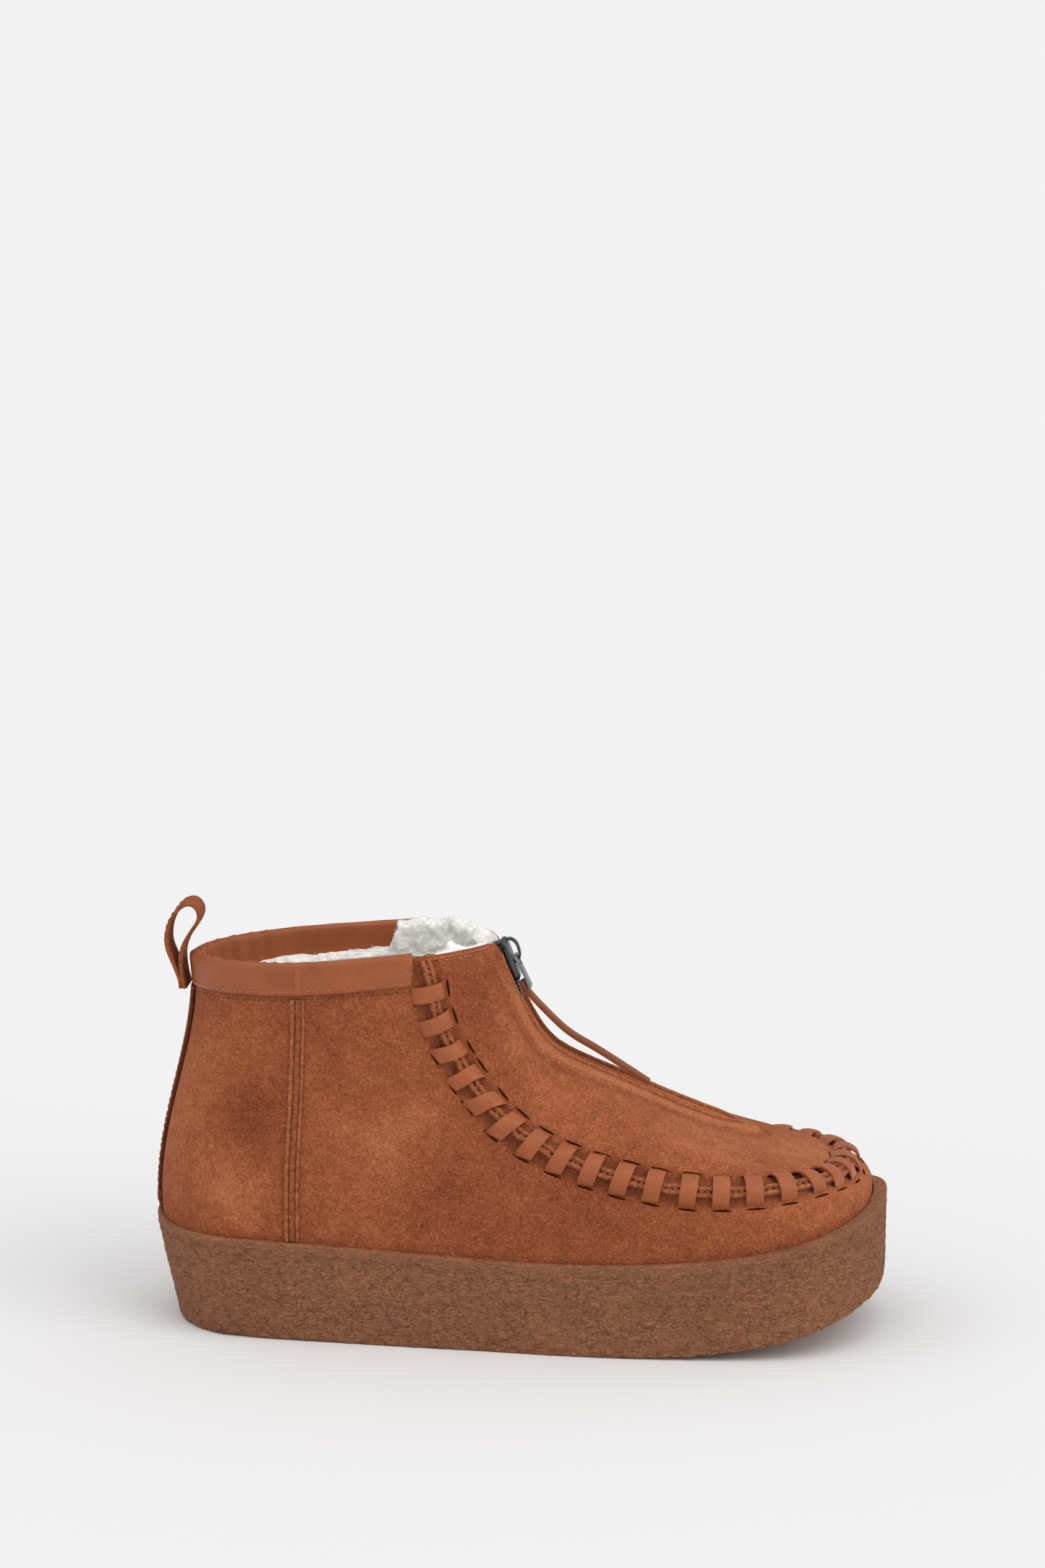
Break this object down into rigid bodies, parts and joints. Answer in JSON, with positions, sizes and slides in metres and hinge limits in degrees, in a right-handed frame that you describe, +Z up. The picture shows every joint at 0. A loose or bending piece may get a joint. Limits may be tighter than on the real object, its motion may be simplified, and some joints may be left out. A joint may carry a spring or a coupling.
{
  "type": "fur-lined ankle boot",
  "caption": "Right ankle boot with fleece lining, front zip with pull strap, whip-laced apron, leather collar band, heel pull loop and thick crepe platform sole.",
  "frame": {"origin": "on the ground plane under the boot, halfway along the sole's length and on its middle line at the shank", "axes": "+X from heel to toe, +Y to the wearer's left, which is the inner side of this right boot, +Z up"},
  "size_m": [0.279, 0.1012, 0.1615],
  "materials": {
    "suede": "napped suede",
    "leather": "smooth, soft sheen",
    "crepe": "matte crepe",
    "fleece": "short pile",
    "tape": "woven zip tape",
    "gunmetal": "dark plated, satin"
  },
  "bodies": {
    "boot": {"apron_seam": "suede", "back_stay": "suede", "collar_band": "leather", "insole": "fleece", "outsole": "crepe", "pull_loop": "leather", "side_seam_lateral": "suede", "side_seam_medial": "suede", "upper": "suede", "whip_lace_01": "leather", "whip_lace_02": "leather", "whip_lace_03": "leather", "whip_lace_04": "leather", "whip_lace_05": "leather", "whip_lace_06": "leather", "whip_lace_07": "leather", "whip_lace_08": "leather", "whip_lace_09": "leather", "whip_lace_10": "leather", "whip_lace_11": "leather", "whip_lace_12": "leather", "whip_lace_13": "leather", "whip_lace_14": "leather", "whip_lace_15": "leather", "whip_lace_16": "leather", "whip_lace_17": "leather", "whip_lace_18": "leather", "whip_lace_19": "leather", "whip_lace_20": "leather", "whip_lace_21": "leather", "whip_lace_22": "leather", "whip_lace_23": "leather", "whip_lace_24": "leather", "whip_lace_25": "leather", "whip_lace_26": "leather", "whip_lace_27": "leather", "whip_lace_28": "leather", "whip_lace_29": "leather", "whip_lace_30": "leather", "whip_lace_31": "leather", "whip_lace_32": "leather", "whip_lace_33": "leather", "whip_lace_34": "leather", "whip_lace_35": "leather", "whip_lace_36": "leather", "whip_lace_37": "leather", "zip_chain": "tape", "zip_slider": "gunmetal"},
    "zip_pull": {"zip_tab": "gunmetal", "zip_strap": "leather"}
  },
  "joints": [
    {"name": "zip_pull_swing", "type": "hinge", "parent": "boot", "child": "zip_pull", "pos_m": [-0.00193, 0.00407, 0.14135], "axis": [0.0028, -1, -0.0075], "range_deg": [0, 110]}
  ]
}
